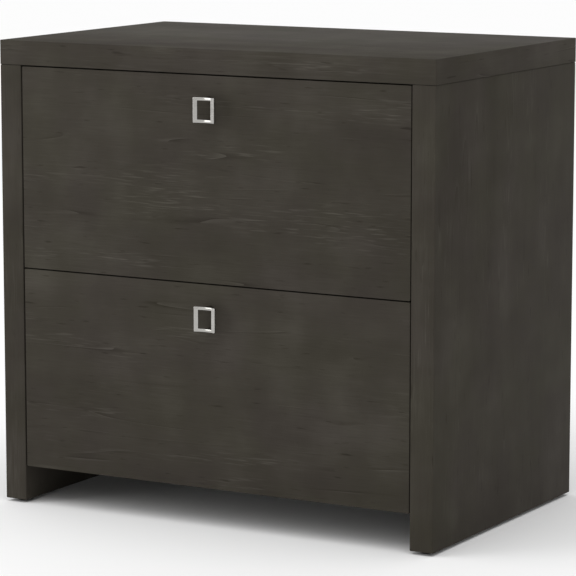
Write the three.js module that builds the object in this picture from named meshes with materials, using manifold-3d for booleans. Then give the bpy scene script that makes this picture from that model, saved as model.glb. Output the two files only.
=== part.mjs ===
// A two-drawer lateral filing cabinet: a thick laminate top and sides, two inset drawer fronts with
// open ring pulls, drawer boxes with hanging-file rails, and telescopic ball-bearing slides.
// Millimetres, +Z up. The front faces -Y. The origin is on the floor, in the middle of the cabinet's
// footprint with its pulls included.

import * as THREE from "three";
import { mergeVertices } from "three/addons/utils/BufferGeometryUtils.js";
import Module from "manifold-3d";

const wasm = await Module();
wasm.setup();

// Case
const CASE_WIDTH = 764; // over the side panels
const CASE_DEPTH = 485;
const CASE_HEIGHT = 737;
const TOP_THICKNESS = 38;
const TOP_OVERHANG = 1; // past each side panel
const SIDE_THICKNESS = 38;
const TOE_SPACE = 61; // floor to the lower drawer front
const BOTTOM_THICKNESS = 16;
const BOTTOM_COVER = 3; // of the bottom panel's front edge, by the drawer front hanging below it
const BOTTOM_SETBACK = 2; // of the bottom panel from the closed drawer front
const BACK_THICKNESS = 6;
const BACK_INSET = 8; // of the back panel from the rear edges of the sides
const RABBET_DEPTH = 10; // that holds the back panel in each side panel
const EDGE_EASE = 0.8; // of the edges of the laminated panels
const CORNER_RADIUS = 2; // of the corners of the laminated panels
const SEAT_GAP = 0.2; // between pieces that stand against each other
const HOLE_CLEARANCE = 0.3; // round a pin, screw or plug in its hole, and round a panel in its groove

// Glides nailed under the side panels
const GLIDE_DIAMETER = 20;
const GLIDE_HEIGHT = 5;
const GLIDE_FOOT = 14; // diameter of the flat underside
const GLIDE_RIM = 2.5; // height of the upright rim
const GLIDE_INSET = 20; // of a glide's centre from the front or rear edge
const NAIL_DIAMETER = 3;
const NAIL_LENGTH = 15;

// Cam locks and cam bolts that hold the top on the sides
const CAM_DIAMETER = 15;
const CAM_DEPTH = 12.5;
const CAM_DROP = 34; // of a cam's centre below the top edge of the side
const CAM_INSET = 70; // of a cam's centre from the front or rear edge
const CAM_SLOT_WIDTH = 1.6;
const CAM_SLOT_LENGTH = 9;
const CAM_SLOT_DEPTH = 2;
const BOLT_HEAD_DIAMETER = 7;
const BOLT_HEAD_LENGTH = 3;
const BOLT_NECK_DIAMETER = 4;
const BOLT_NECK_LENGTH = 4;
const BOLT_SHANK_DIAMETER = 6;
const BOLT_GRIP = 11; // of the bolt in the top panel
const BOLT_INSET = 7; // of the bolt's axis from the inner face of the side

// Drawer fronts
const FRONT_THICKNESS = 18;
const FRONT_REVEAL = 2; // gap round the drawer fronts
const FRONT_RECESS = 1; // of the drawer fronts behind the front edges of the case

// Drawer boxes
const BOX_WALL = 12;
const BOX_BOTTOM = 4;
const BOX_CLEARANCE = 7; // of the lower box above the bottom panel
const BOX_DROP = 36; // of the box sides' top edges below the top edge of the drawer front
const BOX_TAIL = 17; // of the box behind its slides
const BOX_EDGE_RADIUS = 3;
const GROOVE_DEPTH = 6;
const GROOVE_RISE = 10; // of the bottom's groove above the lower edge of the box

// Hanging-file rails, flat bars hooked over the box sides
const RAIL_SPACING = 317; // letter folders
const RAIL_THICKNESS = 2.5;
const RAIL_DEPTH = 10; // below the top edge of the box sides
const RAIL_CROWN = 4; // above the top edge of the box sides
const RAIL_END_GAP = 0.5;
const HOOK_THICKNESS = 3;
const HOOK_DROP = 8; // of the hooks down the outside of the box sides

// Ring pulls
const PULL_WIDTH = 36; // between the front corners of the ring
const PULL_HEIGHT = 38.5;
const PULL_BEND = 45; // radius of the ring's hollow front
const PULL_PLATE = 4.2; // thickness of the ring
const PULL_UPRIGHT = 6.8; // width of the upright bars
const PULL_CROSSBAR = 4.8; // height of the level bars
const PULL_PROJECTION = 20; // of the ring's front corners from the drawer front
const PULL_DROP = 51; // of the ring's centre below the top edge of the drawer front
const POST_DIAMETER = 6;
const POST_NECK = 4.4; // diameter where a post meets the ring
const POST_FLARE = 2; // length over which a post widens behind the ring
const POST_ROOT = 1.5; // of a post into the ring
const SCREW_DIAMETER = 4;
const SCREW_GRIP = 7; // of a screw in its post
const SCREW_HEAD_DIAMETER = 8;
const SCREW_HEAD_HEIGHT = 2.6;

// Telescopic ball-bearing slides
const SLIDE_LENGTH_STEP = 50; // slides are sold in these steps, and the longest that fits is used
const SLIDE_REAR_ROOM = 20;
const SLIDE_SETBACK = 3; // of the slides from the back of the drawer front
const SLIDE_HEIGHT = 45;
const SLIDE_RISE = 110; // of a slide's centre above the lower edge of the box
const SLIDE_STEEL = 1.2;
const OUTER_BALL = 4.4;
const INNER_BALL = 3.5;
const BALL_CLEARANCE = 0.4;
const RACE_LEAN = THREE.MathUtils.degToRad(35); // of the inner balls below the outer balls, seen from the end
const OUTER_LIP = THREE.MathUtils.degToRad(10);
const MIDDLE_LIP = THREE.MathUtils.degToRad(20);
const INNER_RACE_START = THREE.MathUtils.degToRad(-40);
const INNER_RACE_END = THREE.MathUtils.degToRad(-140);
const DRAWER_WEB_GAP = 0.68; // between the inner race and the drawer member's web
const CAGE_STEEL = 0.4;
const CAGE_CLEARANCE = 0.3;
const CAGE_LENGTH = 180;
const BALL_PITCH = 60;
const SLIDE_HOLE = 4.5;
const SLIDE_HOLE_INSET = 37; // of the end holes from the ends of a slide member
const SLIDE_SLOT_LENGTH = 24;
const SLIDE_SLOT_WIDTH = 6;

// Fineness of the round surfaces
const ROUND_SIDES = 12;
const ARC_STEPS = 5;
const EASE_STEPS = 2; // of the eased edges and corners of the panels
const BALL_SIDES = 6;
const BALL_RINGS = 5;

// Places that follow from the sizes
const pullReach = PULL_PROJECTION - FRONT_RECESS;
const frontY = (pullReach - CASE_DEPTH) / 2;
const backY = frontY + CASE_DEPTH;
const topUnderside = CASE_HEIGHT - TOP_THICKNESS;
const innerHalfWidth = CASE_WIDTH / 2 - SIDE_THICKNESS;
const sideHeight = topUnderside - SEAT_GAP - GLIDE_HEIGHT;
const sideCentreX = (CASE_WIDTH - SIDE_THICKNESS) / 2;
const middleY = (frontY + backY) / 2;
const backFaceY = backY - BACK_INSET - BACK_THICKNESS;
const bottomUnderside = TOE_SPACE + BOTTOM_COVER;
const frontWidth = 2 * (innerHalfWidth - FRONT_REVEAL);
const frontHeight = (topUnderside - TOE_SPACE) / 2 - FRONT_REVEAL;
const drawerFaceY = frontY + FRONT_RECESS;

// Places in a drawer, from the lower edge and the face of its front
const boxRise = BOTTOM_COVER + BOTTOM_THICKNESS + BOX_CLEARANCE;
const boxHeight = frontHeight - boxRise - BOX_DROP;
const boxStart = FRONT_THICKNESS + SEAT_GAP;
const slideStart = FRONT_THICKNESS + SLIDE_SETBACK;
const slideRoom = backFaceY - drawerFaceY - slideStart - SLIDE_REAR_ROOM;
const slideLength = Math.floor(slideRoom / SLIDE_LENGTH_STEP) * SLIDE_LENGTH_STEP;
const boxEnd = slideStart + slideLength + BOX_TAIL;

// Section of a slide, from the side panel towards the drawer (x) and up from its centre line (y)
const outerRace = (OUTER_BALL + SLIDE_STEEL) / 2 + BALL_CLEARANCE;
const innerRace = (INNER_BALL + SLIDE_STEEL) / 2 + BALL_CLEARANCE;
const outerBallAt = new THREE.Vector2(
  SLIDE_STEEL / 2 + outerRace,
  SLIDE_HEIGHT / 2 - SLIDE_STEEL / 2 - outerRace,
);
const innerBallAt = new THREE.Vector2(outerRace + innerRace, 0)
  .rotateAround(new THREE.Vector2(), -RACE_LEAN)
  .add(outerBallAt);
const outerCageWeb = SLIDE_STEEL + CAGE_CLEARANCE + CAGE_STEEL / 2;
const middleWeb = outerCageWeb + CAGE_STEEL / 2 + CAGE_CLEARANCE + SLIDE_STEEL / 2;
const drawerWeb = innerBallAt.x + innerRace + DRAWER_WEB_GAP;
const slideThickness = drawerWeb + SLIDE_STEEL / 2;
const boxHalfWidth = innerHalfWidth - slideThickness - 2 * SEAT_GAP;
const boxInnerHalfWidth = boxHalfWidth - BOX_WALL;

// Finishes
const laminate = new THREE.MeshStandardMaterial({ color: 0x413d38, roughness: 0.5, metalness: 0 });
const drawerFoil = new THREE.MeshStandardMaterial({ color: 0x2e2c2a, roughness: 0.6, metalness: 0 });
const hardboard = new THREE.MeshStandardMaterial({ color: 0x393530, roughness: 0.75, metalness: 0 });
const zincSteel = new THREE.MeshStandardMaterial({ color: 0xb4b7ba, roughness: 0.35, metalness: 1 });
const cageSteel = new THREE.MeshStandardMaterial({ color: 0x8d9194, roughness: 0.4, metalness: 1 });
const railSteel = new THREE.MeshStandardMaterial({ color: 0x8f9091, roughness: 0.45, metalness: 0.9 });
const castZinc = new THREE.MeshStandardMaterial({ color: 0x9b9d9e, roughness: 0.5, metalness: 1 });
const satinNickel = new THREE.MeshStandardMaterial({ color: 0xbdb9b2, roughness: 0.3, metalness: 1 });
const glidePlastic = new THREE.MeshStandardMaterial({ color: 0x1d1c1b, roughness: 0.55, metalness: 0 });

// Closed solids for cutting and joining
function solidOf(geometry) {
  const bare = geometry.clone();
  bare.deleteAttribute("normal");
  bare.deleteAttribute("uv");
  const welded = mergeVertices(bare);
  const corners = welded.index.array;
  const triangles = [];
  for (let i = 0; i < corners.length; i += 3) {
    const [a, b, c] = corners.subarray(i, i + 3);
    if (a !== b && b !== c && c !== a) triangles.push(a, b, c);
  }
  return new wasm.Manifold(new wasm.Mesh({
    numProp: 3,
    vertProperties: Float32Array.from(welded.attributes.position.array),
    triVerts: Uint32Array.from(triangles),
  }));
}

function geometryOf(solid) {
  const mesh = solid.getMesh();
  const geometry = new THREE.BufferGeometry();
  geometry.setAttribute("position", new THREE.BufferAttribute(mesh.vertProperties, 3));
  geometry.setIndex(new THREE.BufferAttribute(mesh.triVerts, 1));
  return geometry;
}

function cut(geometry, tools) {
  return geometryOf(tools.reduce((solid, tool) => solid.subtract(solidOf(tool)), solidOf(geometry)));
}

function fuse(geometry, others) {
  return geometryOf(others.reduce((solid, other) => solid.add(solidOf(other)), solidOf(geometry)));
}

// Flat shapes drawn in X and Y become solids that run along one axis from 0
function alongZ(shape, length) {
  return new THREE.ExtrudeGeometry(shape, { depth: length, bevelEnabled: false, curveSegments: ARC_STEPS });
}

function alongY(shape, length) {
  return alongZ(shape, length).rotateX(Math.PI / 2).translate(0, length, 0);
}

function alongX(shape, length) {
  return alongZ(shape, length).rotateX(Math.PI / 2).rotateZ(Math.PI / 2);
}

// Boxes are given by their lowest and highest corners, and rods by their ends
function block(low, high) {
  const size = high.map((value, i) => value - low[i]);
  const middle = high.map((value, i) => (value + low[i]) / 2);
  return new THREE.BoxGeometry(...size).translate(...middle);
}

function rodAlongZ(diameter, x, y, low, high) {
  return new THREE.CylinderGeometry(diameter / 2, diameter / 2, high - low, ROUND_SIDES)
    .rotateX(Math.PI / 2)
    .translate(x, y, (low + high) / 2);
}

function rodAlongY(diameter, x, z, low, high) {
  return new THREE.CylinderGeometry(diameter / 2, diameter / 2, high - low, ROUND_SIDES)
    .translate(x, (low + high) / 2, z);
}

function rodAlongX(diameter, y, z, low, high) {
  return new THREE.CylinderGeometry(diameter / 2, diameter / 2, high - low, ROUND_SIDES)
    .rotateZ(Math.PI / 2)
    .translate((low + high) / 2, y, z);
}

// Turned pieces: the outline gives radius and height, from the axis at the bottom to the axis at the top
function turnedAlongY(outline) {
  const points = outline.map(([radius, height]) => new THREE.Vector2(radius, height));
  return new THREE.LatheGeometry(points, ROUND_SIDES);
}

function turnedAlongZ(outline) {
  return turnedAlongY(outline).rotateX(Math.PI / 2);
}

// A laminated board with eased edges, centred on X and Y, its thickness along Z from 0
function board(width, height, thickness) {
  const x = width / 2 - CORNER_RADIUS;
  const y = height / 2 - CORNER_RADIUS;
  const outline = new THREE.Shape()
    .absarc(x, y, CORNER_RADIUS, 0, Math.PI / 2)
    .absarc(-x, y, CORNER_RADIUS, Math.PI / 2, Math.PI)
    .absarc(-x, -y, CORNER_RADIUS, Math.PI, 1.5 * Math.PI)
    .absarc(x, -y, CORNER_RADIUS, 1.5 * Math.PI, 2 * Math.PI);
  return new THREE.ExtrudeGeometry(outline, {
    depth: thickness - 2 * EDGE_EASE,
    bevelThickness: EDGE_EASE,
    bevelSize: EDGE_EASE,
    bevelOffset: -EDGE_EASE,
    bevelSegments: EASE_STEPS,
    curveSegments: EASE_STEPS,
  }).translate(0, 0, EDGE_EASE);
}

// A sheet of even thickness bent along a path
function bentSheet(path, thickness) {
  const edge = (side) => path.map((point, i) => {
    const before = path[Math.max(i - 1, 0)];
    const after = path[Math.min(i + 1, path.length - 1)];
    const arriving = point.clone().sub(before).normalize();
    const leaving = after.clone().sub(point).normalize();
    const heading = arriving.clone().add(leaving).normalize();
    const straight = i === 0 ? leaving : arriving;
    const reach = (side * thickness) / 2 / heading.dot(straight);
    return new THREE.Vector2(point.x - heading.y * reach, point.y + heading.x * reach);
  });
  return new THREE.Shape([...edge(1), ...edge(-1).reverse()]);
}

function arcPoints(centre, radius, from, to) {
  return Array.from({ length: ARC_STEPS + 1 }, (_, i) => {
    const angle = THREE.MathUtils.lerp(from, to, i / ARC_STEPS);
    return new THREE.Vector2(Math.cos(angle), Math.sin(angle)).multiplyScalar(radius).add(centre);
  });
}

// A section that is the same above and below its centre line, turned to face left (-1) or right (1)
function evenSection(upperHalf, thickness, hand) {
  const place = (sign) => (point) => new THREE.Vector2(-hand * point.x, sign * point.y);
  return bentSheet([...upperHalf.map(place(-1)).reverse(), ...upperHalf.map(place(1))], thickness);
}

function piece(name, geometry, material, x, y, z) {
  const mesh = new THREE.Mesh(geometry, material);
  mesh.name = name;
  mesh.position.set(x, y, z);
  return mesh;
}

const sides = [["left", -1], ["right", 1]];
const ends = [["front", frontY, 1], ["rear", backY, -1]];

// Top panel, with a blind hole for each cam bolt
const boltX = innerHalfWidth + BOLT_INSET;
const boltHoleDiameter = BOLT_SHANK_DIAMETER + 2 * HOLE_CLEARANCE;
const boltPlaces = sides.flatMap(([side, hand]) => ends.map(([end, edgeY, inward]) => (
  { name: `${side}_${end}`, hand, x: hand * boltX, y: edgeY + inward * CAM_INSET }
)));

function topPanel() {
  const holes = boltPlaces.map(({ x, y }) => (
    rodAlongZ(boltHoleDiameter, x, y - middleY, -SEAT_GAP, BOLT_GRIP + HOLE_CLEARANCE)
  ));
  const slab = board(CASE_WIDTH + 2 * TOP_OVERHANG, CASE_DEPTH, TOP_THICKNESS);
  return piece("top_panel", cut(slab, holes), laminate, 0, middleY, topUnderside);
}

// Side panels, with a rabbet for the back, pockets for the cams and holes for the bolts and nails
function sidePanel(side, hand) {
  const slab = board(CASE_DEPTH, sideHeight, SIDE_THICKNESS)
    .rotateX(Math.PI / 2)
    .rotateZ(Math.PI / 2)
    .translate(-SIDE_THICKNESS / 2, 0, sideHeight / 2);
  const innerFace = -hand * SIDE_THICKNESS / 2;
  const pastInnerFace = innerFace - hand * SEAT_GAP;
  const across = (a, b) => [Math.min(a, b), Math.max(a, b)];
  const [rabbetLow, rabbetHigh] = across(pastInnerFace, innerFace + hand * RABBET_DEPTH);
  const rabbetFront = CASE_DEPTH / 2 - BACK_INSET - BACK_THICKNESS;
  const tools = [block(
    [rabbetLow, rabbetFront, -SEAT_GAP],
    [rabbetHigh, CASE_DEPTH / 2 + SEAT_GAP, sideHeight + SEAT_GAP],
  )];
  const pocketEnd = innerFace + hand * (CAM_DEPTH + SEAT_GAP + HOLE_CLEARANCE);
  const [pocketLow, pocketHigh] = across(pastInnerFace, pocketEnd);
  const pocketDiameter = CAM_DIAMETER + 2 * HOLE_CLEARANCE;
  const boreDiameter = BOLT_HEAD_DIAMETER + 2 * HOLE_CLEARANCE;
  const camZ = sideHeight - CAM_DROP;
  for (const { y } of boltPlaces.filter((place) => place.hand === hand)) {
    const boreX = innerFace + hand * BOLT_INSET;
    tools.push(rodAlongX(pocketDiameter, y - middleY, camZ, pocketLow, pocketHigh));
    tools.push(rodAlongZ(boreDiameter, boreX, y - middleY, camZ, sideHeight + SEAT_GAP));
  }
  const nailHoleDiameter = NAIL_DIAMETER + 2 * HOLE_CLEARANCE;
  for (const [, edgeY, inward] of ends) {
    const nailY = edgeY + inward * GLIDE_INSET - middleY;
    tools.push(rodAlongZ(nailHoleDiameter, 0, nailY, -SEAT_GAP, NAIL_LENGTH + HOLE_CLEARANCE));
  }
  return piece(`${side}_side_panel`, cut(slab, tools), laminate, hand * sideCentreX, middleY, GLIDE_HEIGHT);
}

function bottomPanel() {
  const start = drawerFaceY + FRONT_THICKNESS + BOTTOM_SETBACK;
  const depth = backFaceY - SEAT_GAP - start;
  const slab = board(2 * (innerHalfWidth - SEAT_GAP), depth, BOTTOM_THICKNESS);
  return piece("bottom_panel", slab, laminate, 0, start + depth / 2, bottomUnderside);
}

function backPanel() {
  const halfWidth = innerHalfWidth + RABBET_DEPTH - HOLE_CLEARANCE;
  const height = topUnderside - SEAT_GAP - bottomUnderside;
  const slab = block([-halfWidth, SEAT_GAP, 0], [halfWidth, BACK_THICKNESS, height]);
  return piece("back_panel", slab, hardboard, 0, backFaceY, bottomUnderside);
}

function glide(end, side, hand, edgeY, inward) {
  const rim = GLIDE_DIAMETER / 2;
  const nail = NAIL_DIAMETER / 2;
  const top = GLIDE_HEIGHT - SEAT_GAP;
  const shape = turnedAlongZ([
    [0, 0],
    [GLIDE_FOOT / 2, 0],
    [rim, top - GLIDE_RIM],
    [rim, top],
    [nail, top],
    [nail, GLIDE_HEIGHT + NAIL_LENGTH - NAIL_DIAMETER],
    [0, GLIDE_HEIGHT + NAIL_LENGTH],
  ]);
  const y = edgeY + inward * GLIDE_INSET;
  return piece(`${end}_${side}_glide`, shape, glidePlastic, hand * sideCentreX, y, 0);
}

// A cam lock: a drum with a cross slot in its face and a throat that takes the bolt's head
function camLock({ name, hand, x, y }) {
  const face = innerHalfWidth + SEAT_GAP;
  const drum = rodAlongX(CAM_DIAMETER, 0, 0, -CAM_DEPTH / 2, CAM_DEPTH / 2);
  const drumX = hand * (face + CAM_DEPTH / 2);
  const faceX = -hand * CAM_DEPTH / 2;
  const slotX = [faceX - hand * SEAT_GAP, faceX + hand * CAM_SLOT_DEPTH].sort((a, b) => a - b);
  const long = CAM_SLOT_LENGTH / 2;
  const wide = CAM_SLOT_WIDTH / 2;
  const throat = BOLT_HEAD_DIAMETER / 2 + HOLE_CLEARANCE;
  const shape = cut(drum, [
    block([slotX[0], -long, -wide], [slotX[1], long, wide]),
    block([slotX[0], -wide, -long], [slotX[1], wide, long]),
    block([x - drumX - throat, -throat, -HOLE_CLEARANCE], [x - drumX + throat, throat, CAM_DIAMETER]),
  ]);
  return piece(`${name}_cam_lock`, shape, castZinc, drumX, y, topUnderside - SEAT_GAP - CAM_DROP);
}

function camBolt({ name, x, y }) {
  const head = BOLT_HEAD_DIAMETER / 2;
  const neck = BOLT_NECK_DIAMETER / 2;
  const shank = BOLT_SHANK_DIAMETER / 2;
  const shoulder = BOLT_HEAD_LENGTH + BOLT_NECK_LENGTH;
  const tip = CAM_DROP + SEAT_GAP + BOLT_GRIP;
  const shape = turnedAlongZ([
    [0, 0],
    [neck, 0],
    [head, BOLT_HEAD_LENGTH / 2],
    [head, BOLT_HEAD_LENGTH],
    [neck, BOLT_HEAD_LENGTH],
    [neck, shoulder],
    [shank, shoulder],
    [shank, tip],
    [0, tip],
  ]);
  return piece(`${name}_cam_bolt`, shape, zincSteel, x, y, topUnderside - SEAT_GAP - CAM_DROP);
}

// Drawer front, with a groove for the box bottom and holes for the pull's screws
const pullZ = frontHeight - PULL_DROP;
const grooveLow = boxRise + GROOVE_RISE;
const grooveHigh = grooveLow + BOX_BOTTOM + 2 * HOLE_CLEARANCE;
const postOffset = (PULL_HEIGHT - PULL_CROSSBAR) / 2; // the posts stand behind the level bars
const postHeights = [["top", pullZ + postOffset], ["bottom", pullZ - postOffset]];

function drawerFront(level) {
  const slab = board(frontWidth, frontHeight, FRONT_THICKNESS)
    .rotateX(Math.PI / 2)
    .translate(0, FRONT_THICKNESS, frontHeight / 2);
  const grooveHalf = boxInnerHalfWidth + GROOVE_DEPTH;
  const groove = block(
    [-grooveHalf, FRONT_THICKNESS - GROOVE_DEPTH, grooveLow],
    [grooveHalf, FRONT_THICKNESS + SEAT_GAP, grooveHigh],
  );
  const holes = postHeights.map(([, z]) => (
    rodAlongY(SCREW_DIAMETER + 2 * HOLE_CLEARANCE, 0, z, -SEAT_GAP, FRONT_THICKNESS + SEAT_GAP)
  ));
  return piece(`${level}_drawer_front`, cut(slab, [groove, ...holes]), laminate, 0, 0, 0);
}

// Box sides run front to back, with rounded top edges and a groove for the bottom
function boxSide(level, side, hand) {
  const round = BOX_EDGE_RADIUS;
  const inner = -BOX_WALL / 2;
  const outer = BOX_WALL / 2;
  const section = new THREE.Shape()
    .moveTo(inner, 0)
    .lineTo(outer, 0)
    .absarc(outer - round, boxHeight - round, round, 0, Math.PI / 2)
    .absarc(inner + round, boxHeight - round, round, Math.PI / 2, Math.PI)
    .lineTo(inner, grooveHigh - boxRise)
    .lineTo(inner + GROOVE_DEPTH, grooveHigh - boxRise)
    .lineTo(inner + GROOVE_DEPTH, GROOVE_RISE)
    .lineTo(inner, GROOVE_RISE);
  const turned = section.getPoints(ARC_STEPS).map(({ x, y }) => new THREE.Vector2(hand * x, y));
  const shape = alongY(new THREE.Shape(turned), boxEnd - boxStart);
  const x = hand * (boxHalfWidth - BOX_WALL / 2);
  return piece(`${level}_drawer_${side}_side`, shape, drawerFoil, x, boxStart, boxRise);
}

// The box back stands on the bottom, between the sides
function boxBack(level) {
  const round = BOX_EDGE_RADIUS;
  const low = grooveLow + HOLE_CLEARANCE + BOX_BOTTOM + SEAT_GAP;
  const height = boxRise + boxHeight - low;
  const section = new THREE.Shape()
    .moveTo(0, 0)
    .lineTo(BOX_WALL, 0)
    .absarc(BOX_WALL - round, height - round, round, 0, Math.PI / 2)
    .absarc(round, height - round, round, Math.PI / 2, Math.PI);
  const halfWidth = boxInnerHalfWidth - SEAT_GAP;
  const shape = alongX(section, 2 * halfWidth);
  return piece(`${level}_drawer_back`, shape, drawerFoil, -halfWidth, boxEnd - BOX_WALL, low);
}

// The box bottom slides into the grooves of the sides and the front
function boxBottom(level) {
  const halfWidth = boxInnerHalfWidth + GROOVE_DEPTH - HOLE_CLEARANCE;
  const start = FRONT_THICKNESS - GROOVE_DEPTH + HOLE_CLEARANCE;
  const shape = block([-halfWidth, start, 0], [halfWidth, boxEnd, BOX_BOTTOM]);
  return piece(`${level}_drawer_bottom`, shape, hardboard, 0, 0, grooveLow + HOLE_CLEARANCE);
}

// A file rail stands on edge between the box sides, and its hooks hang over them
function fileRail(level, end, y) {
  const inner = boxInnerHalfWidth - RAIL_END_GAP;
  const hookInner = boxHalfWidth + HOLE_CLEARANCE;
  const hookOuter = hookInner + HOOK_THICKNESS;
  const half = [
    [inner, -RAIL_DEPTH],
    [inner, SEAT_GAP],
    [hookInner, SEAT_GAP],
    [hookInner, -HOOK_DROP],
    [hookOuter, -HOOK_DROP],
    [hookOuter, RAIL_CROWN],
  ];
  const mirrored = half.map(([x, z]) => [-x, z]).reverse();
  const outline = new THREE.Shape([...half, ...mirrored].map(([x, z]) => new THREE.Vector2(x, z)));
  const shape = alongY(outline, RAIL_THICKNESS);
  return piece(`${level}_${end}_file_rail`, shape, railSteel, 0, y - RAIL_THICKNESS / 2, boxRise + boxHeight);
}

// A ring pull: a plate bent to a hollow front, with a window through it and two posts behind
const bendCentreY = -PULL_PROJECTION - Math.sqrt(PULL_BEND ** 2 - (PULL_WIDTH / 2) ** 2);
const ringBackY = bendCentreY + PULL_BEND + PULL_PLATE;

function bentPlate(innerRadius, outerRadius, halfAngle) {
  const left = Math.PI / 2 + halfAngle;
  const right = Math.PI / 2 - halfAngle;
  return new THREE.Shape()
    .absarc(0, bendCentreY, outerRadius, right, left, false)
    .absarc(0, bendCentreY, innerRadius, left, right, true);
}

function ringPull(level) {
  const halfAngle = Math.asin(PULL_WIDTH / 2 / PULL_BEND);
  const windowHalfAngle = halfAngle - PULL_UPRIGHT / PULL_BEND;
  const windowHeight = PULL_HEIGHT - 2 * PULL_CROSSBAR;
  const plate = alongZ(bentPlate(PULL_BEND, PULL_BEND + PULL_PLATE, halfAngle), PULL_HEIGHT)
    .translate(0, 0, -PULL_HEIGHT / 2);
  const throughPlate = bentPlate(PULL_BEND - PULL_PLATE, PULL_BEND + 2 * PULL_PLATE, windowHalfAngle);
  const window = alongZ(throughPlate, windowHeight).translate(0, 0, -windowHeight / 2);
  const post = turnedAlongY([
    [0, ringBackY - POST_ROOT],
    [POST_NECK / 2, ringBackY - POST_ROOT],
    [POST_NECK / 2, ringBackY],
    [POST_DIAMETER / 2, ringBackY + POST_FLARE],
    [POST_DIAMETER / 2, -SEAT_GAP],
    [0, -SEAT_GAP],
  ]);
  const posts = postHeights.map(([, z]) => post.clone().translate(0, 0, z - pullZ));
  const screwHoles = postHeights.map(([, z]) => (
    rodAlongY(SCREW_DIAMETER + 2 * HOLE_CLEARANCE, 0, z - pullZ, -SCREW_GRIP - HOLE_CLEARANCE, SEAT_GAP)
  ));
  const ring = fuse(cut(plate, [window]), posts);
  return piece(`${level}_pull`, cut(ring, screwHoles), satinNickel, 0, 0, pullZ);
}

function pullScrew(level, place, z) {
  const headBase = FRONT_THICKNESS + SEAT_GAP;
  const shank = SCREW_DIAMETER / 2;
  const head = SCREW_HEAD_DIAMETER / 2;
  const shape = turnedAlongY([
    [0, -SCREW_GRIP],
    [shank, -SCREW_GRIP],
    [shank, headBase],
    [head, headBase],
    [head, headBase + SCREW_HEAD_HEIGHT / 2],
    [shank, headBase + SCREW_HEAD_HEIGHT],
    [0, headBase + SCREW_HEAD_HEIGHT],
  ]);
  return piece(`${level}_pull_${place}_screw`, shape, zincSteel, 0, 0, z);
}

// Slide members are rolled steel sections that run front to back
const cabinetSection = arcPoints(outerBallAt, outerRace, Math.PI, OUTER_LIP);

const middleStart = Math.acos((outerBallAt.x - middleWeb) / outerRace) - Math.PI;
const middleSection = [
  ...arcPoints(outerBallAt, outerRace, middleStart, -RACE_LEAN),
  ...arcPoints(innerBallAt, innerRace, Math.PI - RACE_LEAN, MIDDLE_LIP).slice(1),
];

const innerRacePoints = arcPoints(innerBallAt, innerRace, INNER_RACE_START, INNER_RACE_END);
const drawerWebTop = new THREE.Vector2(drawerWeb, innerRacePoints[0].y - SLIDE_STEEL / 2);
const drawerSection = [drawerWebTop, ...innerRacePoints];

function screwHoles() {
  const places = [SLIDE_HOLE_INSET, slideLength / 2, slideLength - SLIDE_HOLE_INSET];
  return places.map((y) => rodAlongX(SLIDE_HOLE, y, 0, -slideThickness, slideThickness));
}

function lighteningSlots() {
  const half = (SLIDE_SLOT_LENGTH - SLIDE_SLOT_WIDTH) / 2;
  const round = SLIDE_SLOT_WIDTH / 2;
  const slot = new THREE.Shape()
    .absarc(half, 0, round, -Math.PI / 2, Math.PI / 2)
    .absarc(-half, 0, round, Math.PI / 2, 1.5 * Math.PI);
  const places = [slideLength / 4, slideLength / 2, (3 * slideLength) / 4];
  return places.map((y) => alongX(slot, 2 * slideThickness).translate(-slideThickness, y, 0));
}

function slideMember(name, section, hand, holes) {
  const channel = alongY(evenSection(section, SLIDE_STEEL, hand), slideLength);
  return piece(name, cut(channel, holes), zincSteel, 0, slideStart, 0);
}

// A ball cage: a thin bent strip with a row of balls along its upper and lower edge
function ballCage(name, section, ballAt, diameter, hand) {
  const strip = alongY(evenSection(section, CAGE_STEEL, hand), CAGE_LENGTH);
  const count = Math.floor(CAGE_LENGTH / BALL_PITCH);
  const first = (CAGE_LENGTH - (count - 1) * BALL_PITCH) / 2;
  const balls = [];
  for (let i = 0; i < count; i += 1) {
    for (const edge of [-1, 1]) {
      balls.push(new THREE.SphereGeometry(diameter / 2, BALL_SIDES, BALL_RINGS)
        .translate(-hand * ballAt.x, first + i * BALL_PITCH, edge * ballAt.y));
    }
  }
  const y = slideStart + (slideLength - CAGE_LENGTH) / 2;
  return piece(name, fuse(strip, balls), cageSteel, 0, y, 0);
}

const outerCageSection = [
  new THREE.Vector2(outerCageWeb, outerBallAt.y),
  new THREE.Vector2(outerBallAt.x + OUTER_BALL / 2 - CAGE_STEEL, outerBallAt.y),
];

const innerCageWeb = innerRacePoints.at(-1).x - SLIDE_STEEL / 2 - CAGE_CLEARANCE - CAGE_STEEL / 2;
const innerCageNeck = innerBallAt.x - innerRace + SLIDE_STEEL / 2;
const innerCageSection = [
  new THREE.Vector2(innerCageWeb, innerBallAt.y - (innerCageNeck - innerCageWeb)),
  new THREE.Vector2(innerCageNeck, innerBallAt.y),
  new THREE.Vector2(innerBallAt.x + INNER_BALL / 2 - CAGE_STEEL, innerBallAt.y),
];

function slide(level, side, hand) {
  const name = `${level}_${side}_slide`;
  const group = new THREE.Group();
  group.add(
    slideMember(`${name}_cabinet_member`, cabinetSection, hand, screwHoles()),
    slideMember(`${name}_middle_member`, middleSection, hand, lighteningSlots()),
    slideMember(`${name}_drawer_member`, drawerSection, hand, screwHoles()),
    ballCage(`${name}_outer_cage`, outerCageSection, outerBallAt, OUTER_BALL, hand),
    ballCage(`${name}_inner_cage`, innerCageSection, innerBallAt, INNER_BALL, hand),
  );
  group.position.set(hand * (innerHalfWidth - SEAT_GAP), 0, boxRise + SLIDE_RISE);
  return group;
}

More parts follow.
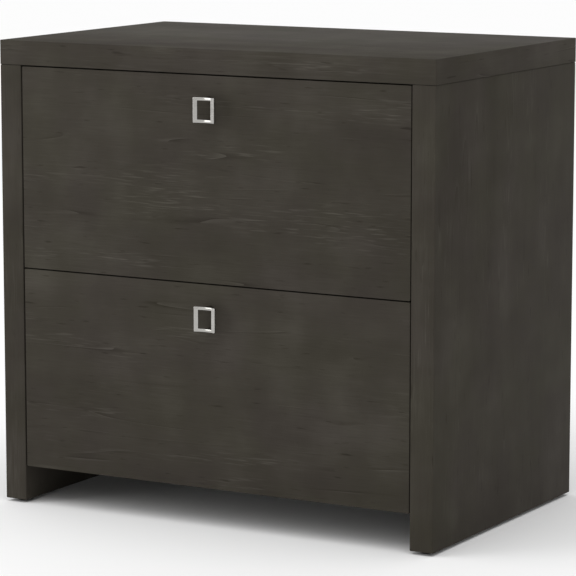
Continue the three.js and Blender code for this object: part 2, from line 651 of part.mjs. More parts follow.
function drawer(level, lowerEdge) {
  const group = new THREE.Group();
  const insideDepth = boxEnd - BOX_WALL - FRONT_THICKNESS;
  const frontRailY = FRONT_THICKNESS + (insideDepth - RAIL_SPACING) / 2;
  group.add(drawerFront(level), boxBack(level), boxBottom(level), ringPull(level));
  for (const [side, hand] of sides) group.add(boxSide(level, side, hand), slide(level, side, hand));
  for (const [place, z] of postHeights) group.add(pullScrew(level, place, z));
  group.add(fileRail(level, "front", frontRailY), fileRail(level, "rear", frontRailY + RAIL_SPACING));
  group.position.set(0, drawerFaceY, lowerEdge);
  return group;
}

function cabinetCase() {
  const group = new THREE.Group();
  group.add(topPanel(), bottomPanel(), backPanel());
  for (const [side, hand] of sides) {
    group.add(sidePanel(side, hand));
    for (const [end, edgeY, inward] of ends) group.add(glide(end, side, hand, edgeY, inward));
  }
  for (const place of boltPlaces) group.add(camLock(place), camBolt(place));
  return group;
}

const cabinet = new THREE.Group();
cabinet.add(
  cabinetCase(),
  drawer("lower", TOE_SPACE),
  drawer("upper", TOE_SPACE + frontHeight + FRONT_REVEAL),
);

export default cabinet;
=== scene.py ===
"""Looks of a two-drawer lateral filing cabinet: wood-print laminate, foil, hardboard, plated steel and
nickel finishes, finer ring pulls, glides and cam locks, and the small screws. Metres, +Z up, front to -Y."""

import math

import bmesh
import bpy
from mathutils import Matrix, Vector


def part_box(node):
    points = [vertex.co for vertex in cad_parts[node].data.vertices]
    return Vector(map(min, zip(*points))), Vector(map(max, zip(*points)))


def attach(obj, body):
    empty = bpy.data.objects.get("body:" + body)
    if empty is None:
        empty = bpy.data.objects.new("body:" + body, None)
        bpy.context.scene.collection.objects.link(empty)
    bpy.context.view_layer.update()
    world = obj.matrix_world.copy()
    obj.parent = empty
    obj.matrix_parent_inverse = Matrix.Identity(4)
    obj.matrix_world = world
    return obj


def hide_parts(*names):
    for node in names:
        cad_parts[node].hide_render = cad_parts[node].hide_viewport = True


# Camera, which looks from the front right and a little above
IMAGE_PIXELS = 576
SENSOR = 36.0
FOCAL_PIXELS = 3089
CAMERA_PLACE = (2.4049, -4.2047, 1.0969)
CAMERA_YAW = math.radians(29.734)
CAMERA_PITCH = math.radians(8.856)

# Light: ambient and overhead are shares of the level at which a colour renders as written
AMBIENT = 0.62
OVERHEAD = 0.40
OVERHEAD_LEAN = math.radians(15)
OVERHEAD_SPREAD = math.radians(70)
SOFTBOX_RADIANCE = 2.9
SOFTBOX_SIZE = (3.0, 3.8)
SOFTBOX_AZIMUTH = math.radians(-46)
SOFTBOX_DISTANCE = 6.0
FLOOR_SIZE = 80.0
FLOOR_WHITE = 0.97
FLOOR_ROUGHNESS = 0.9

# Fineness of the modelled pieces
ROUND_SIDES = 48
ROUND_STEPS = 6
WELD_DISTANCE = 0.00002
SMOOTH_ANGLE = math.radians(32)

# Ring pulls, the same sizes as their solids, with eased edges
PULL_WIDTH = 0.036
PULL_HEIGHT = 0.0385
PULL_BEND = 0.045
PULL_PLATE = 0.0042
PULL_UPRIGHT = 0.0068
PULL_CROSSBAR = 0.0048
PULL_PROJECTION = 0.020
PULL_EDGE = 0.0006
PULL_EDGE_STEPS = 3
UPRIGHT_STEPS = 6
WINDOW_STEPS = 24
CORNER_ANGLE = 1.0
ROUND_PROFILE = 0.5
POST_DIAMETER = 0.006
POST_NECK = 0.0044
POST_FLARE = 0.002
POST_ROOT = 0.0015
SEAT_GAP = 0.0002

# Screws
SCREW_DIAMETER = 0.004
SCREW_LENGTH = 0.025
HEAD_DIAMETER = 0.008
PAN_HEAD_HEIGHT = 0.0026
LOW_HEAD_HEIGHT = 0.00182
PAN_RIM_SHARE = 1 / 3
FLAT_HEAD_PROUD = 0.0001
FLAT_SHANK = 0.0013
RECESS_SPAN = 0.0042
RECESS_WIDTH = 0.0009
RECESS_DEPTH = 0.0013
FLAT_RECESS_DEPTH = 0.00065
BACK_SCREW_SPACING = 0.14
BACK_SCREW_INSET = 0.005
BOX_SCREW_HEIGHTS = (0.035, 0.215)
SLIDE_HOLE_INSET = 0.037
SLIDE_STEEL = 0.0012

# Glides and cams
GLIDE_FOOT = 0.014
GLIDE_RIM = 0.0025
GLIDE_ROUND = 0.0008
NAIL_DIAMETER = 0.003
CAM_DIAMETER = 0.015
CAM_DEPTH = 0.0125
CAM_EASE = 0.0006
CAM_SLOT_LENGTH = 0.009
CAM_SLOT_WIDTH = 0.0016
CAM_SLOT_DEPTH = 0.002
BOX_CAM_DEPTH = 0.0095
BOX_CAM_PROUD = 0.0003
BOX_CAM_SETBACK = 0.024
BOX_CAM_HEIGHTS = (0.045, 0.205)

# Names and directions
LEVELS = ("upper", "lower")
SIDES = {"left": -1, "right": 1}
ENDS = ("front", "rear")
BACKWARD = (0, 1, 0)


def srgb(red, green, blue):
    """A colour given in 0-255 display values, as linear light with full alpha."""
    def linear(value):
        share = value / 255
        return share / 12.92 if share <= 0.04045 else ((share + 0.055) / 1.055) ** 2.4
    return (linear(red), linear(green), linear(blue), 1.0)


# Finishes: each board's print has two tints, each with a dark, a middle and a light shade
LAMINATE = dict(
    tints=(
        (srgb(47, 44, 37), srgb(60, 57, 50), srgb(76, 73, 66)),
        (srgb(47, 43, 39), srgb(60, 56, 51), srgb(76, 72, 67)),
    ),
    roughness=0.66,
    specular=0.025,
)
FOIL = dict(
    tints=(
        (srgb(36, 34, 31), srgb(45, 43, 40), srgb(54, 52, 49)),
        (srgb(36, 34, 33), srgb(45, 43, 42), srgb(54, 52, 51)),
    ),
    roughness=0.6,
    specular=0.1,
)
BOARDS = {
    "laminate_across": dict(LAMINATE, along="X", lines=1.0),
    "laminate_upright": dict(LAMINATE, along="Z", lines=0.6),
    "foil_deep": dict(FOIL, along="Y", lines=0.6),
    "foil_across": dict(FOIL, along="X", lines=0.6),
}
METALS = {
    "zinc_steel": dict(
        dark=srgb(160, 164, 170),
        light=srgb(192, 194, 194),
        roughness=0.34,
        streaks=(300, 10, 300),
    ),
    "cage_steel": dict(
        dark=srgb(124, 128, 131),
        light=srgb(156, 160, 163),
        roughness=0.38,
        streaks=(250, 14, 250),
    ),
    "rail_steel": dict(
        dark=srgb(130, 131, 133),
        light=srgb(158, 159, 160),
        roughness=0.42,
        streaks=(12, 400, 400),
    ),
    "cast_zinc": dict(
        dark=srgb(138, 140, 141),
        light=srgb(168, 170, 171),
        roughness=0.5,
        streaks=(380, 380, 380),
        relief=0.3,
    ),
    "satin_nickel": dict(
        dark=srgb(157, 155, 151),
        light=srgb(177, 175, 171),
        roughness=0.15,
        streaks=(90, 90, 1500),
    ),
}
HARDBOARD_SHADES = (srgb(38, 35, 31), srgb(57, 53, 48), srgb(73, 68, 61))
HARDBOARD_STOPS = (0.2, 0.5, 0.8)
PLASTIC_SHADES = (srgb(24, 23, 22), srgb(38, 37, 36))
PLASTIC_STOPS = (0.35, 0.7)
PRINT_START = -0.03
PRINT_STOPS = (0.15, 0.5, 0.85)
FIGURE_LINES = 5.0
LIGHT_LINE = 0.08
DARK_LINE = 0.10
END_FACING = 0.6
NOISE_SWING = (0.3, 0.7)
SMOOTHER = 0.05
ROUGHER = 0.06

# Axes that run along, across and through the grain: on a board's faces, then on its ends
GRAIN_ORDERS = {"X": ("XYZ", "YXZ"), "Y": ("YXZ", "ZXY"), "Z": ("ZXY", "YXZ")}

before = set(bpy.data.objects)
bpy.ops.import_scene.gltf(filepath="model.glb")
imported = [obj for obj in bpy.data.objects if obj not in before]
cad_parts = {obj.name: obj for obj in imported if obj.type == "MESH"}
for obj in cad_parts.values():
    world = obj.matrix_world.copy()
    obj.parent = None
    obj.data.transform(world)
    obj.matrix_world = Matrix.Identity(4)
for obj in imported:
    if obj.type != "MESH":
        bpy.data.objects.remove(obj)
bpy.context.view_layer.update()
scene = bpy.context.scene


def link(name, data):
    """A new object in the scene that holds some data."""
    thing = bpy.data.objects.new(name, data)
    scene.collection.objects.link(thing)
    return thing


# Camera

def make_camera():
    data = bpy.data.cameras.new("camera")
    data.sensor_width = SENSOR
    data.lens = FOCAL_PIXELS / IMAGE_PIXELS * SENSOR
    data.clip_end = 2 * FLOOR_SIZE
    camera = link("camera", data)
    camera.location = CAMERA_PLACE
    camera.rotation_euler = (math.pi / 2 - CAMERA_PITCH, 0, CAMERA_YAW)
    scene.camera = camera


# Materials for the finishes

class Finish:
    """A material with one principled shader, and short ways to wire nodes into it."""

    def __init__(self, name, metallic=0.0, specular=0.5):
        self.material = bpy.data.materials.new(name)
        self.material.use_nodes = True
        self.tree = self.material.node_tree
        self.shader = self.tree.nodes["Principled BSDF"]
        self.shader.inputs["Metallic"].default_value = metallic
        self.shader.inputs["Specular IOR Level"].default_value = specular

    def add(self, kind, **settings):
        node = self.tree.nodes.new(kind)
        for name, value in settings.items():
            setattr(node, name, value)
        return node

    def feed(self, socket, value):
        if isinstance(value, bpy.types.NodeSocket):
            self.tree.links.new(value, socket)
        else:
            socket.default_value = value

    def work(self, kind, operation, *values):
        """The result of one operation on numbers or vectors."""
        node = self.add(kind, operation=operation)
        for socket, value in zip(node.inputs, values):
            self.feed(socket, value)
        return node.outputs[0]

    def math(self, operation, *values):
        return self.work("ShaderNodeMath", operation, *values)

    def vector_math(self, operation, *values):
        return self.work("ShaderNodeVectorMath", operation, *values)

    def noise(self, place, waves, detail=2.0, distortion=0.0, shift=(0, 0, 0)):
        """Soft noise about 0.5, with so many waves to a metre along each axis."""
        node = self.add("ShaderNodeTexNoise")
        moved = self.vector_math("ADD", self.vector_math("MULTIPLY", place, waves), shift)
        self.feed(node.inputs["Vector"], moved)
        node.inputs["Scale"].default_value = 1.0
        node.inputs["Detail"].default_value = detail
        node.inputs["Distortion"].default_value = distortion
        return node.outputs["Fac"]

    def even_noise(self, place, waves, **settings):
        """Noise that is alike along every axis."""
        return self.noise(place, (waves, waves, waves), **settings)

    def grain_noise(self, grain, along, across, **settings):
        """Noise that is drawn out along the grain."""
        return self.noise(grain, (along, across, across), **settings)

    def spread(self, value, low, high, to_low=0.0, to_high=1.0):
        node = self.add("ShaderNodeMapRange", clamp=True)
        self.feed(node.inputs["Value"], value)
        node.inputs["From Min"].default_value = low
        node.inputs["From Max"].default_value = high
        node.inputs["To Min"].default_value = to_low
        node.inputs["To Max"].default_value = to_high
        return node.outputs["Result"]

    def total(self, start, *parts):
        """The start value plus each (value, gain) pair."""
        for value, gain in parts:
            start = self.math("MULTIPLY_ADD", value, gain, start)
        return start

    def ramp(self, value, stops, shades):
        node = self.add("ShaderNodeValToRGB")
        elements = node.color_ramp.elements
        while len(elements) < len(stops):
            elements.new(1.0)
        for element, stop, shade in zip(elements, stops, shades):
            element.position = stop
            element.color = shade
        self.feed(node.inputs["Fac"], value)
        return node.outputs["Color"]

    def mix(self, kind, share, first, second):
        """Two colours or vectors, blended by a share."""
        node = self.add("ShaderNodeMix", data_type=kind)
        ending = {"RGBA": "Color", "VECTOR": "Vector"}[kind]
        inputs = {socket.identifier: socket for socket in node.inputs}
        outputs = {socket.identifier: socket for socket in node.outputs}
        self.feed(inputs["Factor_Float"], share)
        self.feed(inputs[f"A_{ending}"], first)
        self.feed(inputs[f"B_{ending}"], second)
        return outputs[f"Result_{ending}"]

    def bump(self, height, strength, distance):
        node = self.add("ShaderNodeBump")
        node.inputs["Strength"].default_value = strength
        node.inputs["Distance"].default_value = distance
        self.feed(node.inputs["Height"], height)
        self.feed(self.shader.inputs["Normal"], node.outputs["Normal"])

    def surface(self, colour, roughness):
        self.feed(self.shader.inputs["Base Color"], colour)
        self.feed(self.shader.inputs["Roughness"], roughness)
        return self.material

    def varied(self, value, low, high):
        """Roughness from low to high, as a noise goes through its usual swing."""
        return self.spread(value, *NOISE_SWING, low, high)

    def place(self):
        return self.add("ShaderNodeTexCoord").outputs["Object"]

    def facing(self, axis):
        """How squarely the surface looks along the axis, either way."""
        split = self.add("ShaderNodeSeparateXYZ")
        self.feed(split.inputs[0], self.add("ShaderNodeTexCoord").outputs["Normal"])
        return self.math("ABSOLUTE", split.outputs[axis])

    def reordered(self, order):
        split = self.add("ShaderNodeSeparateXYZ")
        self.feed(split.inputs[0], self.place())
        joined = self.add("ShaderNodeCombineXYZ")
        for socket, axis in zip(joined.inputs, order):
            self.feed(socket, split.outputs[axis])
        return joined.outputs[0]

    def grain_space(self, along):
        """Places with the grain along the first axis. On the ends of a board the grain runs across them."""
        on_faces, on_ends = GRAIN_ORDERS[along]
        is_end = self.math("GREATER_THAN", self.facing(along), END_FACING)
        return self.mix("VECTOR", is_end, self.reordered(on_faces), self.reordered(on_ends))


def wood_print(name, tints, roughness, specular, along, lines):
    """A printed wood grain: soft patches, drifts of fine flecks, long thin figure lines, and a few pores."""
    finish = Finish(name, specular=specular)
    grain = finish.grain_space(along)
    patches = finish.grain_noise(grain, along=16, across=12)
    clouds = finish.grain_noise(grain, along=3, across=15, detail=3.0, shift=(24, 9, 3))
    fibre = finish.grain_noise(grain, along=22, across=620)
    pores = finish.grain_noise(grain, along=28, across=190, detail=1.0, shift=(2, 13, 9))
    pores = finish.spread(pores, low=0.68, high=0.80)
    drifts = finish.grain_noise(grain, along=3.5, across=24, shift=(8, 3, 5))
    drifts = finish.spread(drifts, low=0.52, high=0.66)
    flecks = finish.grain_noise(grain, along=24, across=380, detail=1.0, shift=(11, 5, 2))
    flecks = finish.spread(flecks, low=0.54, high=0.70)
    figure = finish.grain_noise(grain, along=1.2, across=24, detail=1.0, shift=(6, 2, 4))
    phase = finish.math("FRACT", finish.math("MULTIPLY", figure, FIGURE_LINES))
    broken = finish.grain_noise(grain, along=7, across=60, shift=(1, 9, 2))
    broken = finish.spread(broken, low=0.50, high=0.62)
    light = finish.math("MULTIPLY", finish.spread(phase, 0.0, LIGHT_LINE, 1.0, 0.0), broken)
    dark = finish.math("MULTIPLY", finish.spread(phase, 1.0 - DARK_LINE, 1.0), broken)
    tone = finish.total(
        PRINT_START,
        (patches, 0.36),
        (clouds, 0.45),
        (fibre, 0.22),
        (finish.math("MULTIPLY", drifts, flecks), 0.27 * lines),
        (light, 0.22 * lines),
        (dark, -0.26 * lines),
        (pores, -0.34 * lines),
    )
    tint = finish.grain_noise(grain, along=8, across=9, shift=(1, 4, 9))
    tint = finish.spread(tint, low=0.35, high=0.65)
    colour = finish.mix("RGBA", tint, *(finish.ramp(tone, PRINT_STOPS, shades) for shades in tints))
    relief = finish.total(0.0, (fibre, 0.6), (pores, -0.5), (light, 0.3))
    finish.bump(relief, strength=0.25, distance=0.0002)
    return finish.surface(colour, finish.varied(fibre, roughness - SMOOTHER, roughness + ROUGHER))


def hardboard(name):
    """Printed hardboard: a pressed, slightly fibrous face."""
    finish = Finish(name, specular=0.2)
    place = finish.place()
    cloud = finish.even_noise(place, 9, detail=3.0)
    fibre = finish.even_noise(place, 420, detail=3.0, distortion=1.2)
    specks = finish.spread(finish.even_noise(place, 900, shift=(4, 4, 4)), low=0.60, high=0.72)
    tone = finish.total(0.1, (cloud, 0.4), (fibre, 0.4), (specks, -0.15))
    finish.bump(fibre, strength=0.3, distance=0.0002)
    colour = finish.ramp(tone, HARDBOARD_STOPS, HARDBOARD_SHADES)
    return finish.surface(colour, finish.varied(fibre, low=0.66, high=0.82))


def metal(name, dark, light, roughness, streaks, relief=0.12):
    """Bare or plated metal with streaks, so many to a metre along each axis, and a faint cloudy tint."""
    finish = Finish(name, metallic=1.0)
    place = finish.place()
    streak = finish.noise(place, streaks, detail=3.0)
    cloud = finish.even_noise(place, 25, shift=(5, 1, 8))
    tone = finish.total(0.0, (streak, 0.6), (cloud, 0.4))
    finish.bump(streak, strength=relief, distance=0.00005)
    colour = finish.ramp(tone, NOISE_SWING, (dark, light))
    return finish.surface(colour, finish.varied(tone, roughness - SMOOTHER, roughness + ROUGHER))


def moulded_plastic(name):
    """Dark moulded plastic with a fine pebbled face and soft scuffs."""
    finish = Finish(name, specular=0.4)
    place = finish.place()
    scuff = finish.even_noise(place, 140, detail=4.0, distortion=1.5)
    pebble = finish.even_noise(place, 2200, detail=1.0)
    finish.bump(pebble, strength=0.2, distance=0.0001)
    colour = finish.ramp(scuff, PLASTIC_STOPS, PLASTIC_SHADES)
    return finish.surface(colour, finish.varied(scuff, low=0.42, high=0.62))


def make_finishes():
    made = {name: wood_print(name, **look) for name, look in BOARDS.items()}
    made.update({name: metal(name, **look) for name, look in METALS.items()})
    made["hardboard"] = hardboard("hardboard")
    made["glide_plastic"] = moulded_plastic("glide_plastic")
    return made


finishes = make_finishes()


# Mesh code for the modelled pieces

def spaced(low, high, count):
    """Evenly spaced values from low up to high, without high itself."""
    return [low + (high - low) * i / count for i in range(count)]


def arc(centre, radius, start, end):
    """Points of a circle's arc, for outlines."""
    angles = spaced(start, end, ROUND_STEPS) + [end]
    x, y = centre
    return [(x + radius * math.cos(angle), y + radius * math.sin(angle)) for angle in angles]


def turned(outline):
    """A closed solid of revolution about Z. The outline is (radius, height), from the axis to the axis."""
    shape = bmesh.new()
    angles = spaced(0, 2 * math.pi, ROUND_SIDES)
    rings = []
    for radius, height in outline:
        turns = angles if radius else angles[:1]
        points = [(radius * math.cos(angle), radius * math.sin(angle), height) for angle in turns]
        rings.append([shape.verts.new(point) for point in points])
    for lower, upper in zip(rings, rings[1:]):
        for i in range(ROUND_SIDES):
            around = ((lower, i), (lower, i + 1), (upper, i + 1), (upper, i))
            corners = [ring[step % len(ring)] for ring, step in around]
            shape.faces.new(list(dict.fromkeys(corners)))
    bmesh.ops.recalc_face_normals(shape, faces=shape.faces)
    return shape


def block(low, high):
    """A closed box between two corners."""
    size = Vector(high) - Vector(low)
    centre = (Vector(high) + Vector(low)) / 2
    shape = bmesh.new()
    bmesh.ops.create_cube(shape, size=1.0, matrix=Matrix.LocRotScale(centre, None, size))
    return shape


def mesh_from(name, shape):
    """A mesh with the shape, which is used up."""
    mesh = bpy.data.meshes.new(name)
    shape.to_mesh(mesh)
    shape.free()
    return mesh


def in_order(shape):
    """The shape with its points and faces sorted by place. A boolean leaves them in an order that varies."""
    points = sorted(shape.verts, key=lambda vertex: tuple(vertex.co))
    ranks = {vertex: rank for rank, vertex in enumerate(points)}
    loops = []
    for face in shape.faces:
        loop = [ranks[vertex] for vertex in face.verts]
        start = loop.index(min(loop))
        loops.append(loop[start:] + loop[:start])
    ordered = bmesh.new()
    corners = [ordered.verts.new(vertex.co) for vertex in points]
    for loop in sorted(loops):
        ordered.faces.new([corners[rank] for rank in loop])
    shape.free()
    return ordered


def combine(shape, tool, operation):
    """The shape cut by the tool, or joined to it. Both are used up."""
    base = link("base", mesh_from("base", shape))
    other = link("tool", mesh_from("tool", tool))
    change = base.modifiers.new("change", "BOOLEAN")
    change.operation = operation
    change.object = other
    result = bmesh.new()
    result.from_object(base, bpy.context.evaluated_depsgraph_get())
    for holder in (base, other):
        mesh = holder.data
        bpy.data.objects.remove(holder)
        bpy.data.meshes.remove(mesh)
    return in_order(result)


def with_cross(shape, top, span, width, depth):
    """The shape with a cross-shaped recess let into its top, at the axis."""
    for half_x, half_y in ((span / 2, width / 2), (width / 2, span / 2)):
        tool = block((-half_x, -half_y, top - depth), (half_x, half_y, top + depth))
        shape = combine(shape, tool, "DIFFERENCE")
    return shape


def pattern(shape, places):
    """Copies of a shape, one at each place."""
    mesh = mesh_from("copied", shape)
    copies = bmesh.new()
    for place in places:
        first = len(copies.verts)
        copies.from_mesh(mesh)
        copies.verts.ensure_lookup_table()
        bmesh.ops.transform(copies, matrix=place, verts=copies.verts[first:])
    bpy.data.meshes.remove(mesh)
    return copies


def stood(point, direction):
    """A place at a point, with its Z along a direction."""
    turn = Vector((0, 0, 1)).rotation_difference(Vector(direction))
    return Matrix.LocRotScale(Vector(point), turn, None)


def middle(node):
    """The centre of a node's box."""
    low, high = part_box(node)
    return (low + high) / 2


def inner_outer(node, hand):
    """Where a node's two faces stand in X: the one towards the middle of the cabinet, then the other."""
    low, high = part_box(node)
    return (low.x, high.x) if hand > 0 else (high.x, low.x)


def add_piece(name, shape, slot, body, stands_for=()):
    """A piece with the finish of a slot, which moves with a body and may stand for some of the solids."""
    mesh = mesh_from(name, shape)
    mesh.materials.append(finishes[slot])
    mesh.shade_smooth()
    mesh.set_sharp_from_angle(angle=SMOOTH_ANGLE)
    piece = link(name, mesh)
    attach(piece, body)
    if stands_for:
        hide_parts(*stands_for)


# Ring pulls

def flat_ring(half_width, half_window):
    """A flat ring with eased edges. Y is 0 at its front."""
    lengths = [
        *spaced(-half_width, -half_window, UPRIGHT_STEPS),
        *spaced(-half_window, half_window, WINDOW_STEPS),
        *spaced(half_window, half_width, UPRIGHT_STEPS),
        half_width,
    ]
    sill = PULL_HEIGHT / 2 - PULL_CROSSBAR
    heights = [-PULL_HEIGHT / 2, -sill, sill, PULL_HEIGHT / 2]
    open_steps = range(UPRIGHT_STEPS, UPRIGHT_STEPS + WINDOW_STEPS)
    ring = bmesh.new()
    grid = [[ring.verts.new((x, 0, z)) for z in heights] for x in lengths]
    for i in range(len(lengths) - 1):
        for j in range(len(heights) - 1):
            in_window = j == 1 and i in open_steps
            if not in_window:
                ring.faces.new((grid[i][j], grid[i + 1][j], grid[i + 1][j + 1], grid[i][j + 1]))
    loose = [vertex for vertex in ring.verts if not vertex.link_faces]
    bmesh.ops.delete(ring, geom=loose, context="VERTS")
    back = bmesh.ops.extrude_face_region(ring, geom=list(ring.faces))["geom"]
    moved = [item for item in back if isinstance(item, bmesh.types.BMVert)]
    bmesh.ops.translate(ring, vec=(0, PULL_PLATE, 0), verts=moved)
    bmesh.ops.recalc_face_normals(ring, faces=ring.faces)
    joined = [edge for edge in ring.edges if len(edge.link_faces) == 2]
    corners = [edge for edge in joined if edge.calc_face_angle() > CORNER_ANGLE]
    bmesh.ops.bevel(
        ring,
        geom=corners,
        offset=PULL_EDGE,
        segments=PULL_EDGE_STEPS,
        profile=ROUND_PROFILE,
        affect="EDGES",
    )
    return ring


def bent_ring():
    """The ring bent to a hollow front, and how far back it goes. Y is 0 at the drawer front."""
    bend_half = math.asin(PULL_WIDTH / 2 / PULL_BEND)
    half_width = PULL_BEND * bend_half
    ring = flat_ring(half_width, half_width - PULL_UPRIGHT)
    bend_y = -PULL_PROJECTION - PULL_BEND * math.cos(bend_half)
    for vertex in ring.verts:
        angle = vertex.co.x / PULL_BEND
        radius = PULL_BEND + vertex.co.y
        vertex.co = (radius * math.sin(angle), bend_y + radius * math.cos(angle), vertex.co.z)
    return ring, bend_y + PULL_BEND + PULL_PLATE


def ring_pull(level):
    """A ring on two turned posts, which stand behind its level bars."""
    ring, ring_back = bent_ring()
    neck = POST_NECK / 2
    radius = POST_DIAMETER / 2
    length = -SEAT_GAP - ring_back
    outline = [
        (0, -POST_ROOT),
        (neck, -POST_ROOT),
        (neck, 0),
        (radius, POST_FLARE),
        (radius, length),
        (0, length),
    ]
    for side in (-1, 1):
        post = turned(outline)
        place = stood((0, ring_back, side * (PULL_HEIGHT - PULL_CROSSBAR) / 2), BACKWARD)
        bmesh.ops.transform(post, matrix=place, verts=post.verts)
        ring = combine(ring, post, "UNION")
    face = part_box(f"{level}_drawer_front")[0].y
    bmesh.ops.translate(ring, vec=(0, face, middle(f"{level}_pull").z), verts=ring.verts)
    add_piece(f"{level}_ring_pull", ring, "satin_nickel", f"{level}_drawer", [f"{level}_pull"])


# Screws

def pan_screw(length, head_height=PAN_HEAD_HEIGHT):
    """A pan-head screw along Z: its tip at -length, the seat of its head at 0, and a cross recess on top."""
    shank = SCREW_DIAMETER / 2
    head = HEAD_DIAMETER / 2
    rim = head_height * PAN_RIM_SHARE
    rise = head_height - rim
    angles = spaced(0, math.pi / 2, ROUND_STEPS)
    dome = [(head * math.cos(angle), rim + rise * math.sin(angle)) for angle in angles]
    outline = [(0, -length), (shank, -length), (shank, 0), (head, 0), *dome, (0, head_height)]
    return with_cross(turned(outline), head_height, RECESS_SPAN, RECESS_WIDTH, RECESS_DEPTH)


def flat_screw():
    """A flush countersunk head along Z, its seat at 0."""
    shank = SCREW_DIAMETER / 2
    head = HEAD_DIAMETER / 2
    outline = [
        (0, -FLAT_SHANK),
        (shank, -FLAT_SHANK),
        (shank, 0),
        (head, 0),
        (head, FLAT_HEAD_PROUD / 2),
        (head - FLAT_HEAD_PROUD, FLAT_HEAD_PROUD),
        (0, FLAT_HEAD_PROUD),
    ]
    return with_cross(turned(outline), FLAT_HEAD_PROUD, RECESS_SPAN, RECESS_WIDTH, FLAT_RECESS_DEPTH)


def pull_screws(level):
    names = [f"{level}_pull_{place}_screw" for place in ("top", "bottom")]
    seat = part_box(f"{level}_drawer_front")[1].y + SEAT_GAP
    places = [stood((0, seat, middle(name).z), BACKWARD) for name in names]
    screws = pattern(pan_screw(SCREW_LENGTH), places)
    add_piece(f"{level}_pull_screws", screws, "zinc_steel", f"{level}_drawer", names)


def screw_holes(member, x, direction):
    """Places at x for the three screws of a slide member."""
    low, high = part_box(member)
    reach = (high.y - low.y) / 2 - SLIDE_HOLE_INSET
    centre = middle(member)
    return [stood((x, centre.y + offset, centre.z), direction) for offset in (-reach, 0, reach)]


def slide_screws(level):
    """Flush heads in the cabinet members, and low pan heads in the drawer members, at their screw holes."""
    flush_places, pan_places = [], []
    for side, hand in SIDES.items():
        fixed = f"{level}_{side}_slide_cabinet_member"
        moving = f"{level}_{side}_slide_drawer_member"
        outer = inner_outer(fixed, hand)[1]
        inner = inner_outer(moving, hand)[0]
        flush_places += screw_holes(fixed, outer - hand * SLIDE_STEEL, (-hand, 0, 0))
        pan_places += screw_holes(moving, inner + hand * SLIDE_STEEL, (hand, 0, 0))
    flush = pattern(flat_screw(), flush_places)
    pans = pattern(pan_screw(SLIDE_STEEL, LOW_HEAD_HEIGHT), pan_places)
    add_piece(f"{level}_cabinet_member_screws", flush, "zinc_steel", "cabinet")
    add_piece(f"{level}_drawer_member_screws", pans, "zinc_steel", f"{level}_drawer")


def back_screws():
    """Screws through the back panel, into the rabbets of the sides and the rear edge of the bottom."""
    low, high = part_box("back_panel")
    width = high.x - low.x
    height = high.z - low.z
    spots = []
    rows = int(height / BACK_SCREW_SPACING)
    for i in range(rows):
        z = low.z + (i + 0.5) * height / rows
        spots += [(low.x + BACK_SCREW_INSET, z), (high.x - BACK_SCREW_INSET, z)]
    columns = int(width / BACK_SCREW_SPACING)
    for i in range(1, columns):
        spots.append((low.x + i * width / columns, middle("bottom_panel").z))
    places = [stood((x, high.y, z), BACKWARD) for x, z in spots]
    screws = pattern(pan_screw(high.y - low.y), places)
    add_piece("back_screws", screws, "zinc_steel", "cabinet")


# Glides and cams

def glides():
    names = [f"{end}_{side}_glide" for end in ENDS for side in SIDES]
    low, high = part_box(names[0])
    rim = (high.x - low.x) / 2
    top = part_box("left_side_panel")[0].z - SEAT_GAP
    nail = NAIL_DIAMETER / 2
    foot = GLIDE_FOOT / 2
    outline = [
        (0, 0),
        *arc((foot - GLIDE_ROUND, GLIDE_ROUND), GLIDE_ROUND, -math.pi / 2, -math.pi / 4),
        *arc((rim - GLIDE_ROUND, top - GLIDE_RIM), GLIDE_ROUND, -math.pi / 4, 0),
        (rim, top),
        (nail, top),
        (nail, high.z - NAIL_DIAMETER),
        (0, high.z),
    ]
    places = [Matrix.Translation((middle(name).x, middle(name).y, 0)) for name in names]
    add_piece("glides", pattern(turned(outline), places), "glide_plastic", "cabinet", names)


def cam_drum(depth):
    """A cam lock along Z, its face at 0, with a cross slot in the face."""
    radius = CAM_DIAMETER / 2
    eased = arc((radius - CAM_EASE, -CAM_EASE), CAM_EASE, 0, math.pi / 2)
    outline = [(0, -depth), (radius, -depth), *eased, (0, 0)]
    return with_cross(turned(outline), 0, CAM_SLOT_LENGTH, CAM_SLOT_WIDTH, CAM_SLOT_DEPTH)


def cam_locks():
    names, places = [], []
    for side, hand in SIDES.items():
        for end in ENDS:
            name = f"{side}_{end}_cam_lock"
            face = inner_outer(name, hand)[0]
            names.append(name)
            places.append(stood((face, middle(name).y, middle(name).z), (-hand, 0, 0)))
    add_piece("cam_locks", pattern(cam_drum(CAM_DEPTH), places), "cast_zinc", "cabinet", names)


def box_fittings(level):
    """Cams that hold the box sides to the drawer front, and screws that hold them to the box back."""
    body = f"{level}_drawer"
    screw_y = middle(f"{body}_back").y
    cam_places, screw_places = [], []
    for side, hand in SIDES.items():
        wall = f"{body}_{side}_side"
        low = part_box(wall)[0]
        inner, outer = inner_outer(wall, hand)
        face = inner - hand * BOX_CAM_PROUD
        cam_y = low.y + BOX_CAM_SETBACK
        cam_places += [stood((face, cam_y, low.z + rise), (-hand, 0, 0)) for rise in BOX_CAM_HEIGHTS]
        screw_places += [stood((outer, screw_y, low.z + rise), (hand, 0, 0)) for rise in BOX_SCREW_HEIGHTS]
    add_piece(f"{level}_box_cams", pattern(cam_drum(BOX_CAM_DEPTH), cam_places), "cast_zinc", body)
    add_piece(f"{level}_box_screws", pattern(flat_screw(), screw_places), "zinc_steel", body)


# The solids that stay: smooth shading over their facets, and a finish for each

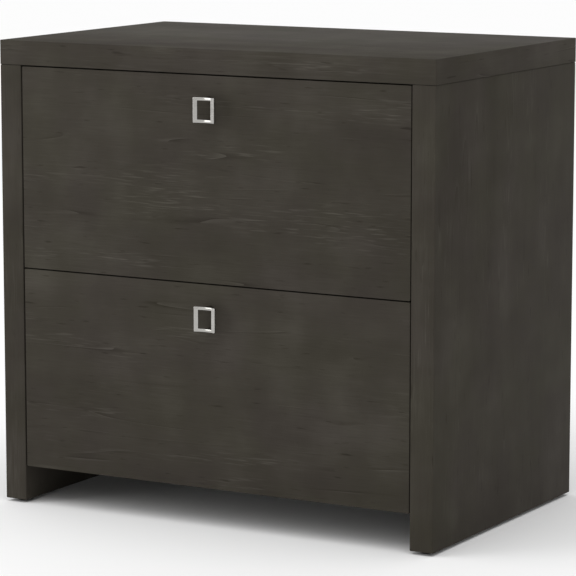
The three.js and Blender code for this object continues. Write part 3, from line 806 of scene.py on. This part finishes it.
def smooth_shading():
    """A geometry group that welds the facets and shades them smooth up to the smooth angle."""
    group = bpy.data.node_groups.new("smooth_shading", "GeometryNodeTree")
    for way in ("INPUT", "OUTPUT"):
        group.interface.new_socket("Geometry", in_out=way, socket_type="NodeSocketGeometry")
    enter = group.nodes.new("NodeGroupInput")
    leave = group.nodes.new("NodeGroupOutput")
    weld = group.nodes.new("GeometryNodeMergeByDistance")
    weld.inputs["Distance"].default_value = WELD_DISTANCE
    angle = group.nodes.new("GeometryNodeInputMeshEdgeAngle")
    sharp = group.nodes.new("FunctionNodeCompare")
    sharp.operation = "GREATER_THAN"
    sharp.inputs["B"].default_value = SMOOTH_ANGLE
    normals = group.nodes.new("GeometryNodeSetMeshNormal")
    normals.inputs["Remove Custom"].default_value = True
    normals.inputs["Face Sharpness"].default_value = False
    for source, target in (
        (enter.outputs[0], weld.inputs["Geometry"]),
        (weld.outputs[0], normals.inputs["Mesh"]),
        (angle.outputs["Unsigned Angle"], sharp.inputs["A"]),
        (sharp.outputs[0], normals.inputs["Edge Sharpness"]),
        (normals.outputs[0], leave.inputs[0]),
    ):
        group.links.new(source, target)
    return group


def dress_solids():
    """Gives each solid its finish and smooth shading. Where a board stands decides how its grain runs."""
    shading = smooth_shading()
    for name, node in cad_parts.items():
        slot = node.material_slots[0].material.name
        if slot == "laminate":
            slot = "laminate_upright" if name.endswith("side_panel") else "laminate_across"
        elif slot == "drawer_foil":
            slot = "foil_across" if name.endswith("back") else "foil_deep"
        node.material_slots[0].material = finishes[slot]
        node.modifiers.new("smooth_shading", "NODES").node_group = shading


# Stage and light

def make_floor():
    shape = bmesh.new()
    bmesh.ops.create_grid(shape, x_segments=1, y_segments=1, size=FLOOR_SIZE / 2)
    mesh = mesh_from("floor", shape)
    white = (FLOOR_WHITE, FLOOR_WHITE, FLOOR_WHITE, 1.0)
    mesh.materials.append(Finish("floor", specular=0.0).surface(white, FLOOR_ROUGHNESS))
    link("floor", mesh)


def make_world():
    """A white surround for the eye and for reflections, and a softer one for the light that it gives."""
    world = bpy.data.worlds.new("studio")
    world.use_nodes = True
    scene.world = world
    tree = world.node_tree
    background = tree.nodes["Background"]
    background.inputs["Color"].default_value = (1.0, 1.0, 1.0, 1.0)
    path = tree.nodes.new("ShaderNodeLightPath")
    seen = path.outputs["Is Camera Ray"]
    for output in ("Is Glossy Ray", "Is Transmission Ray"):
        either = tree.nodes.new("ShaderNodeMath")
        either.operation = "MAXIMUM"
        tree.links.new(seen, either.inputs[0])
        tree.links.new(path.outputs[output], either.inputs[1])
        seen = either.outputs[0]
    strength = tree.nodes.new("ShaderNodeMapRange")
    strength.inputs["To Min"].default_value = AMBIENT
    strength.inputs["To Max"].default_value = 1.0
    tree.links.new(seen, strength.inputs["Value"])
    tree.links.new(strength.outputs["Result"], background.inputs["Strength"])


def make_lamps():
    """A wide overhead light, and a softbox that stands on the floor at the front left."""
    overhead = bpy.data.lights.new("overhead", "SUN")
    overhead.energy = OVERHEAD * math.pi
    overhead.angle = OVERHEAD_SPREAD
    link("overhead", overhead).rotation_euler = (OVERHEAD_LEAN, 0, 0)

    width, height = SOFTBOX_SIZE
    softbox = bpy.data.lights.new("softbox", "AREA")
    softbox.shape = "RECTANGLE"
    softbox.size = width
    softbox.size_y = height
    softbox.energy = SOFTBOX_RADIANCE * math.pi * width * height
    lamp = link("softbox", softbox)
    away = Vector((math.sin(SOFTBOX_AZIMUTH), -math.cos(SOFTBOX_AZIMUTH), 0))
    lamp.location = away * SOFTBOX_DISTANCE + Vector((0, 0, height / 2))
    lamp.rotation_euler = away.to_track_quat("Z", "Y").to_euler()


make_camera()
dress_solids()
for level in LEVELS:
    ring_pull(level)
    pull_screws(level)
    slide_screws(level)
    box_fittings(level)
back_screws()
glides()
cam_locks()
make_floor()
make_world()
make_lamps()
scene.view_settings.view_transform = "Standard"
